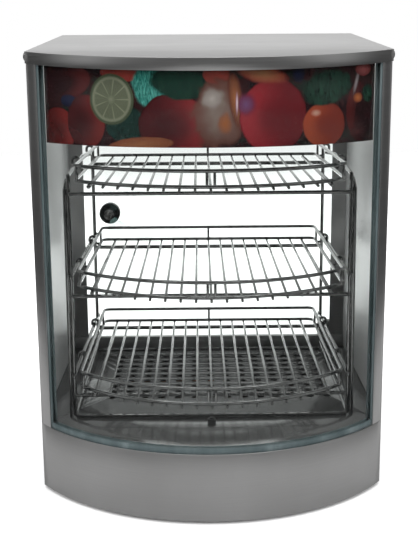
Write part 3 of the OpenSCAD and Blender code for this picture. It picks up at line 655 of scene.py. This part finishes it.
def left_fruit(art):
    tomato(art, -160, 462, 34, 17, MAROON, (0.08, 0.014, 0.014), 1, 12)
    art.patch(-158, 445, 12, 6, (0.0, (0.012, 0.02, 0.06)), (1.0, (0.008, 0.01, 0.03)))
    tomato(art, -176, 414, 28, 24, (0.06, 0.01, 0.01), RED)
    tomato(art, -135, 424, 25, 28, DEEP, (0.15, 0.02, 0.018))
    art.patch(-88, 474, 26, 9, (0.0, (0.3, 0.06, 0.045)), (1.0, (0.22, 0.035, 0.03)), soft=0.05)
    art.leaf(-88, 422, 22, 18, GREEN, (0.012, 0.05, 0.045))
    art.slice(-103, 447, 25, (0.06, 0.09, 0.05), (0.11, 0.14, 0.09), (0.19, 0.23, 0.16))
    art.leaf(-58, 459, 20, 22, (0.01, 0.13, 0.11), (0.09, 0.45, 0.38), 35)
    tomato(art, -37, 421, 36, 33, DEEP, (0.2, 0.022, 0.024), 1)
    art.leaf(-31, 462, 30, 15, GREEN, (0.012, 0.06, 0.038), -10)
    art.patch(-73, 402, 34, 8, (0.0, (0.32, 0.15, 0.07)), (1.0, (0.2, 0.07, 0.035)), lean=5, soft=0.06)


def middle_fruit(art):
    art.patch(6, 471, 13, 10, (0.0, (0.32, 0.06, 0.045)), (1.0, (0.22, 0.04, 0.03)), soft=0.06)
    art.patch(7, 432, 25, 34, (0.0, (0.2, 0.18, 0.16)), (0.5, (0.15, 0.11, 0.09)),
              (1.0, (0.11, 0.04, 0.03)), rough=0.9)
    art.patch(2, 448, 11, 10, (0.0, (0.36, 0.36, 0.34)), (1.0, (0.2, 0.19, 0.17)),
              lean=25, soft=0.3, rough=1.4)
    art.patch(14, 424, 7, 11, (0.0, (0.3, 0.11, 0.03)), (1.0, (0.2, 0.09, 0.05)), soft=0.3, rough=1.2)
    art.patch(25, 446, 7, 28, (0.0, (0.3, 0.13, 0.05)), (1.0, (0.1, 0.03, 0.02)), lean=8, soft=0.2)
    tomato(art, 64, 430, 36, 37, (0.1, 0.012, 0.016), (0.26, 0.022, 0.03), -1)
    art.patch(50, 472, 26, 9, (0.0, (0.32, 0.17, 0.08)), (0.7, (0.26, 0.09, 0.05)),
              (1.0, (0.2, 0.04, 0.03)), lean=-12, soft=0.2, rough=0.8)
    art.patch(35, 442, 9, 10, (0.0, (0.13, 0.07, 0.17)), (1.0, (0.12, 0.02, 0.05)), soft=0.4)
    art.patch(26, 443, 1.2, 10, (0.0, (0.7, 0.6, 0.66)), (1.0, (0.3, 0.2, 0.25)), soft=0.5)
    art.patch(90, 471, 7, 9, (0.0, (0.012, 0.018, 0.05)), (1.0, (0.01, 0.01, 0.02)), soft=0.1)


def right_fruit(art):
    tomato(art, 122, 420, 27, 23, (0.14, 0.02, 0.014), (0.3, 0.06, 0.025), -1)
    art.leaf(126, 457, 31, 17, (0.003, 0.009, 0.008), (0.02, 0.08, 0.05), 12)
    art.patch(111, 432, 7, 4, (0.0, (0.5, 0.34, 0.26)), (1.0, (0.3, 0.07, 0.035)), soft=0.4)
    tomato(art, 172, 432, 22, 32, MAROON, (0.07, 0.012, 0.012), -1)
    art.patch(165, 462, 3, 15, (0.0, (0.3, 0.3, 0.32)), (1.0, (0.05, 0.03, 0.03)), lean=-18, soft=0.4)
    art.patch(176, 475, 13, 7, (0.0, (0.3, 0.1, 0.1)), (1.0, (0.12, 0.03, 0.03)), soft=0.1)
    art.patch(168, 446, 7, 5, (0.0, (0.4, 0.14, 0.04)), (1.0, (0.15, 0.04, 0.02)), soft=0.2)
    art.leaf(184, 450, 9, 9, GREEN, (0.015, 0.05, 0.03))


def printed_panel():
    p = Paint("printed_panel")
    p.set(Specular_IOR_Level=0.2)
    art = Print(p, PANEL_RADIUS, PANEL_CENTRE_Y)
    art.ground((0.35, MAROON), (0.5, (0.03, 0.009, 0.01)), (0.62, (0.01, 0.02, 0.016)))
    left_fruit(art)
    middle_fruit(art)
    right_fruit(art)
    speckle = p.noise((700, 700, 700), 2, 0.6)
    colour = p.mix(1.0, art.colour, (0.58, 0.5, 0.5), "MULTIPLY")
    colour = p.mix(p.span(speckle, 0.4, 0.7, 0.0, 0.12), colour, (0.01, 0.008, 0.008))
    return p.done(colour, p.span(speckle, 0.3, 0.7, 0.16, 0.28), p.bump(speckle, 0.05, 0.0001))


FINISHES = (
    brushed_steel, polished_steel, steel_fittings, aluminised_steel, chromed_wire, front_glass,
    door_glass, clear_seal, printed_panel, rubber, black_plastic, magnet, heater_tube, copper,
    ceramic, lamp_glass, wire_insulation, amber_lens, red_plastic, green_plastic, cord_rubber,
    cord_tie, brass_pins,
)
MAKERS = {finish.__name__: finish for finish in FINISHES}
MADE = {}


def material(slot):
    if slot not in MADE:
        MADE[slot] = MAKERS[slot]()
    return MADE[slot]


# Shelves, as in the CAD part: two wire loops, rods, struts and hooks

SHELF_X = 147.5
SHELF_ARC = 204
SHELF_CORNER = -120
SHELF_REAR = 167.5
SHELF_ARC_Y = SHELF_CORNER + math.sqrt(SHELF_ARC ** 2 - SHELF_X ** 2)
FRONT_ROUND = 12
REAR_ROUND = 9
RAIL_RISE = 16.5
HOOK_Y = (-18, 137)
RACK_X = 158
RACK_WIRE = 4.4
HOOK_WIRE = 3.4
UP = (0, 0, 1)
ROD_PITCH = 16.3
WELD_SPOT = ((0, 0.5), (0.2, 1.25), (0.8, 1.25), (1.1, 0.4))


def shelf_front(x):
    return SHELF_ARC_Y - math.sqrt(SHELF_ARC ** 2 - x * x)


def shelf_loop(z):
    fillet_y = SHELF_ARC_Y - math.sqrt((SHELF_ARC - FRONT_ROUND) ** 2 - (SHELF_X - FRONT_ROUND) ** 2)
    a = math.degrees(math.asin((SHELF_X - FRONT_ROUND) / (SHELF_ARC - FRONT_ROUND)))
    x = SHELF_X - FRONT_ROUND
    rear_x = SHELF_X - REAR_ROUND
    rear_y = SHELF_REAR - REAR_ROUND
    path = arc((0, SHELF_ARC_Y), SHELF_ARC, -90 - a + 1, -90 + a - 1, 44, z)
    path += arc((x, fillet_y), FRONT_ROUND, -90 + a, 0, 7, z)
    path += arc((rear_x, rear_y), REAR_ROUND, 0, 90, 8, z)
    path += arc((-rear_x, rear_y), REAR_ROUND, 90, 180, 8, z)
    path += arc((-x, fillet_y), FRONT_ROUND, 180, 270 - a, 7, z)
    return path


def hook_path(side, y, z, rung):
    r = RACK_WIRE / 2 + HOOK_WIRE / 2 + 0.3
    path = [Vector((SHELF_X + 1.2, y, z)), Vector((RACK_X - r - 1.8, y, z))]
    path += [Vector((RACK_X - r - 0.5, y, z + 0.6)), Vector((RACK_X - r, y, z + 2))]
    for k in range(13):
        a = math.pi * (1 - k / 12)
        path.append(Vector((RACK_X + r * math.cos(a), y, rung + r * math.sin(a))))
    path.append(Vector((RACK_X + r, y, rung - 3)))
    return [Vector((side * p.x, p.y, p.z)) for p in path]


def make_shelf(body, low, rung):
    high = low + RAIL_RISE
    wires = Shape()
    wires.tube(shelf_loop(low), 4, closed=True)
    wires.tube(shelf_loop(high), 4, closed=True)
    for x in (-4, 4):
        wires.tube([(x, shelf_front(x), low), (x, shelf_front(x), high)], 3)
    wires.tube([(0, SHELF_REAR, low), (0, SHELF_REAR, high)], 3)
    for side in (-1, 1):
        for y in (SHELF_CORNER + 16, SHELF_REAR - 24):
            wires.tube([(side * SHELF_X, y, low), (side * SHELF_X, y, high)], 3)
        for y in HOOK_Y:
            wires.tube(hook_path(side, y, low, rung), HOOK_WIRE)
        corner = (side * (SHELF_X - 3.2), SHELF_CORNER - 4.5)
        wires.tube([(*corner, low), (*corner, high)], 3)
    piece = wires.make(body + "_wires")
    finish_with(piece, "chromed_wire", body, body + "_frame")
    rods = Shape()
    for k in range(-8, 9):
        x = k * ROD_PITCH
        d = 4.5 if abs(k) == 8 else 3
        z = low - (4 + d) / 2
        rods.tube([(x, shelf_front(x) - 3.2, z), (x, SHELF_REAR + 2.3, z)], d)
        for y in (shelf_front(x), SHELF_REAR):
            rods.turned((x, y, z + d / 2 - 0.5), UP, WELD_SPOT, 10)
    piece = rods.make(body + "_rod_set")
    finish_with(piece, "chromed_wire", body, body + "_rods")


# Rack

RACK_FRONT = -102
RACK_REAR = 176
RACK_LOW = 81.2
RUNGS = (129.5, 246.5, 369)
RACK_COLLAR = ((0, 2.25), (0.9, 2.75), (4.3, 2.75), (5.2, 2.25))
REAR_WIRE = 5.2
REAR_RISE = 4


def make_rack_side(side, name):
    x = side * RACK_X
    outer = side * (RACK_X + RACK_WIRE)
    top = RUNGS[2]
    bend = 10
    wires = Shape()
    middle = (RACK_FRONT + RACK_REAR) / 2
    loop = [(x, middle, top), (x, RACK_FRONT, top), (x, RACK_FRONT, RACK_LOW)]
    loop += [(x, RACK_REAR, RACK_LOW), (x, RACK_REAR, top), (x, middle + 1, top)]
    wires.tube(rounded(loop, (bend, 2.4, bend, bend), 8), RACK_WIRE, closed=True)
    for z in RUNGS[:2]:
        wires.tube([(x, RACK_FRONT, z), (x, RACK_REAR, z)], RACK_WIRE)
    stay_z = top - 16
    stay = [(outer, RACK_FRONT, RACK_LOW - 1.2), (outer, RACK_FRONT, stay_z)]
    stay.append((outer, RACK_FRONT + 26, stay_z))
    wires.tube(rounded(stay, (bend,), 8), RACK_WIRE)
    for z in RUNGS[:2]:
        for y in (RACK_FRONT, RACK_REAR):
            wires.turned((x, y, z - 2.6), UP, RACK_COLLAR, 16)
    piece = wires.make(name + "_wires")
    finish_with(piece, "chromed_wire", "cabinet", name)


def make_rack_cross():
    wires = Shape()
    reach = RACK_X - RACK_WIRE / 2 + 0.4
    for z in (106.5, 224, 340.5):
        wires.tube([(-reach, RACK_FRONT, z), (reach, RACK_FRONT, z)], RACK_WIRE)
        rear_z = z + REAR_RISE
        wires.tube([(-reach, RACK_REAR, rear_z), (reach, RACK_REAR, rear_z)], REAR_WIRE)
    for y in (RACK_FRONT, RACK_REAR - 10):
        wires.tube([(-reach, y, RACK_LOW), (reach, y, RACK_LOW)], RACK_WIRE)
    piece = wires.make("rack_cross_wire_set")
    finish_with(piece, "chromed_wire", "cabinet", "rack_cross_wires")


# CAD nodes that stay: smooth shading, softened edges and their finishes

SOFT_EDGES = {
    "base_skirt": 0.5, "top_lid": 0.45, "rear_sill": 0.4, "rear_header": 0.3, "dial_plate": 0.15,
    "door_hinge_clamps": 0.6, "hinge_brackets": 0.4, "plug_body": 2.5, "heater_switch_body": 0.4,
    "light_switch_body": 0.4, "terminal_block": 0.4, "thermostat_body": 0.5, "heater_pan": 0.2,
    "cord_tie": 0.3, "door_strike_plate": 0.15, "door_magnet": 0.3, "rubber_feet": 0.5,
    "left_side_panel": 0.2, "right_side_panel": 0.2, "heater_rocker": 0.4, "light_rocker": 0.4,
    "thermostat_knob": 0.4, "front_glass": 0.3, "door_glass": 0.4, "rack_retainer": 0.4,
    "ceiling_panel": 0.2, "lamp_holder": 0.5, "door_knob": 0.5, "plug_pins": 0.6,
}


def finish_cad():
    slots = {}
    for entry in frame["record"]["subparts"]:
        slots[entry["node"]] = entry["material_slot"]
    for name, node in NODES.items():
        slot = slots.get(name, "brushed_steel")
        node.data.materials.clear()
        node.data.materials.append(material(slot))
        for face in node.data.polygons:
            face.use_smooth = True
        weld = node.modifiers.new("weld", "WELD")
        weld.merge_threshold = 0.00001
        if name in SOFT_EDGES:
            bevel = node.modifiers.new("bevel", "BEVEL")
            bevel.width = SOFT_EDGES[name] / 1000
            bevel.segments = 2
            bevel.limit_method = "ANGLE"
            bevel.angle_limit = SHARP_ANGLE
        node.data.set_sharp_from_angle(angle=SHARP_ANGLE)


# Floor, light and backdrop

def make_floor():
    """Pale where seen directly. Mirrored, it darkens to the sides and the front."""
    steps = 24
    size = 8
    verts = []
    for i in range(steps + 1):
        for j in range(steps + 1):
            verts.append(((i / steps - 0.5) * size, (j / steps - 0.5) * size, -0.0005))
    faces = []
    for i in range(steps):
        for j in range(steps):
            a = i * (steps + 1) + j
            faces.append((a, a + steps + 1, a + steps + 2, a + 1))
    mesh = bpy.data.meshes.new("studio_floor")
    mesh.from_pydata(verts, [], faces)
    floor = bpy.data.objects.new("studio_floor", mesh)
    bpy.context.scene.collection.objects.link(floor)
    p = Paint("studio_floor")
    soft = p.noise((4, 4, 4), 3, 0.5)
    pale = p.ramp(soft, (0.3, grey(0.975)), (0.7, grey(0.99)))
    x, y, z = p.split()
    aside = p.span(p.math("ABSOLUTE", x), 0.25, 0.9, 1, 0.02)
    level = p.math("MULTIPLY", aside, p.span(y, -0.1, 0.5, 0.31, 0.95))
    mirrored = p.ramp(level, (0.0, grey(0.0)), (1.0, grey(1.0)))
    path = p.nodes.new("ShaderNodeLightPath")
    colour = p.mix(path.outputs["Is Glossy Ray"], pale, mirrored)
    mesh.materials.append(p.done(colour, p.span(soft, 0.3, 0.7, 0.75, 0.85)))


def area_light(name, place, target, size, power, mirrored=False):
    data = bpy.data.lights.new(name, "AREA")
    data.shape = "RECTANGLE"
    data.size = size[0]
    data.size_y = size[1]
    data.energy = power
    lamp = bpy.data.objects.new(name, data)
    bpy.context.scene.collection.objects.link(lamp)
    lamp.location = place
    lamp.visible_glossy = mirrored
    lamp.rotation_euler = (Vector(target) - Vector(place)).to_track_quat("-Z", "Y").to_euler()


def make_light():
    area_light("over", (0, -0.2, 2.6), (0, 0, 0), (2.4, 2.4), 40, True)
    area_light("front_left", (-1.6, -2.2, 1.7), (0, 0, 0.25), (1.4, 1.4), 28)
    area_light("front_right", (1.8, -2.0, 1.5), (0, 0, 0.25), (1.0, 1.4), 24)
    area_light("rear", (0, 2.2, 1.6), (0, 0, 0.2), (2.4, 1.4), 30)


MIRRORED_ROOM = (
    (0.0, 0.07), (0.18, 0.15), (0.33, 0.56), (0.46, 0.25),
    (0.56, 0.03), (0.76, 0.04), (0.88, 0.4), (1.0, 1.0),
)


def make_world():
    """White where seen directly. Mirrored, its brightness goes by MIRRORED_ROOM, front to back."""
    world = bpy.data.worlds.new("studio")
    world.use_nodes = True
    bpy.context.scene.world = world
    nodes = world.node_tree.nodes
    links = world.node_tree.links
    coord = nodes.new("ShaderNodeTexCoord")
    axes = nodes.new("ShaderNodeSeparateXYZ")
    links.new(coord.outputs["Generated"], axes.inputs[0])
    ramp = nodes.new("ShaderNodeValToRGB")
    halved = nodes.new("ShaderNodeMath")
    halved.operation = "MULTIPLY_ADD"
    halved.inputs[1].default_value = 0.5
    halved.inputs[2].default_value = 0.5
    links.new(axes.outputs["Y"], halved.inputs[0])
    links.new(halved.outputs[0], ramp.inputs["Fac"])
    fill_ramp(ramp.color_ramp, [(at, grey(level)) for at, level in MIRRORED_ROOM])
    path = nodes.new("ShaderNodeLightPath")
    seen = nodes.new("ShaderNodeMix")
    seen.data_type = "RGBA"
    links.new(path.outputs["Is Glossy Ray"], seen.inputs[0])
    seen.inputs[6].default_value = (1, 1, 1, 1)
    links.new(ramp.outputs["Color"], seen.inputs[7])
    links.new(seen.outputs[2], nodes["Background"].inputs["Color"])
    nodes["Background"].inputs["Strength"].default_value = 1.0
    bpy.context.scene.view_settings.view_transform = "Standard"


make_camera()
make_cord()
make_shelf("bottom_shelf", 123.5, RUNGS[0])
make_shelf("middle_shelf", 240.5, RUNGS[1])
make_shelf("top_shelf", 357.5, RUNGS[2])
make_rack_side(-1, "rack_left_frame")
make_rack_side(1, "rack_right_frame")
make_rack_cross()
finish_cad()
make_floor()
make_light()
make_world()
bpy.context.view_layer.update()
